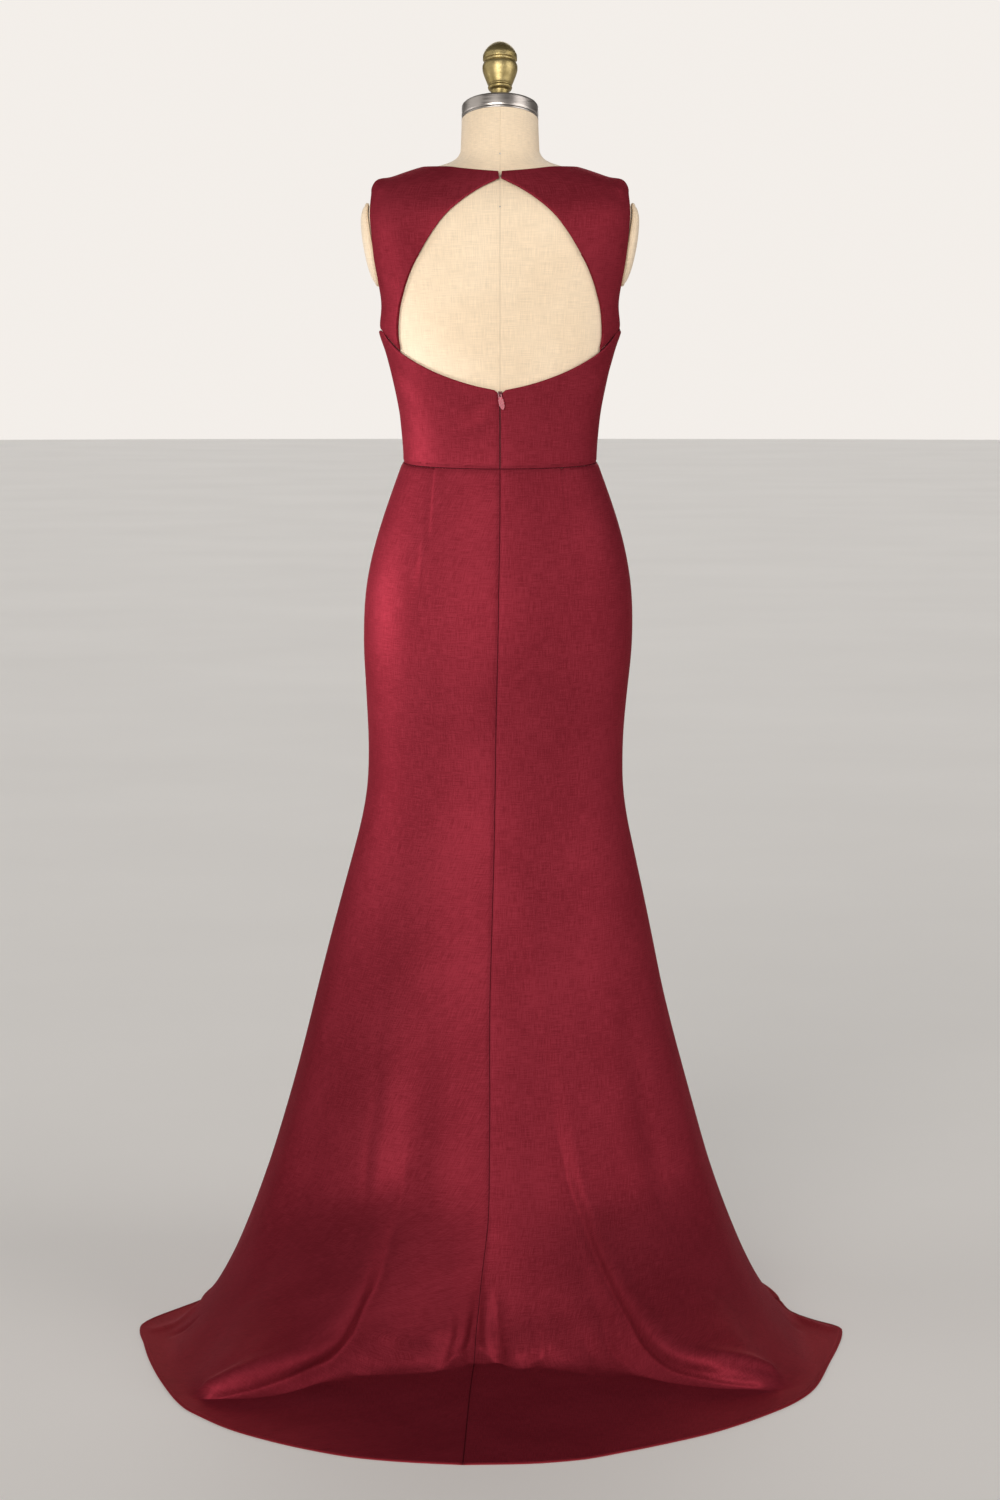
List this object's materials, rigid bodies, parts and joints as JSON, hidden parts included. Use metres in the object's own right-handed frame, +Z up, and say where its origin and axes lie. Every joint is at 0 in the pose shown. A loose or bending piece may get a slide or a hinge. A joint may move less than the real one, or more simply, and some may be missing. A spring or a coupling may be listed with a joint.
{
  "type": "maxi dress on a limbless dress form with stand",
  "caption": "Sleeveless fishtail maxi dress with a keyhole back, a short zip and a sweep train, worn by a limbless linen dress form on a round stand.",
  "frame": {"origin": "centre of the stand's base plate, on the floor", "axes": "+Z up along the stand, +Y the way the form faces, so the keyhole back and the train look towards -Y, +X the form's right side"},
  "size_m": [0.857, 0.9865, 1.5652],
  "materials": {
    "crepe": "burgundy crepe with a soft satin sheen",
    "linen_cover": "cream linen, plain weave",
    "brushed_steel": "brushed round the band",
    "aged_brass": "aged, satin",
    "black_iron": "black satin paint",
    "painted_zip": "burgundy lacquer",
    "painted_pull": "burgundy lacquer, glossy",
    "silver_wire": "bright nickel"
  },
  "bodies": {
    "dress_and_form": {"back_bodice_left": "crepe", "back_bodice_right": "crepe", "back_yoke_left": "crepe", "back_yoke_right": "crepe", "bodice_front": "crepe", "form_arm_plate_left": "linen_cover", "form_arm_plate_right": "linen_cover", "form_finial": "aged_brass", "form_neck_cap": "brushed_steel", "form_torso": "linen_cover", "neck_eye": "silver_wire", "neck_hook": "silver_wire", "skirt_back_left": "crepe", "skirt_back_right": "crepe", "skirt_front": "crepe", "stand_base": "black_iron", "stand_flange": "black_iron", "stand_pole": "brushed_steel", "zip_slider": "painted_zip"},
    "pull": {"zip_pull": "painted_pull"}
  },
  "joints": [
    {"name": "zip_pull_swing", "type": "hinge", "parent": "dress_and_form", "child": "pull", "pos_m": [0, -0.10005, 1.1342], "axis": [-1, 0, 0], "range_deg": [0, 150]}
  ]
}
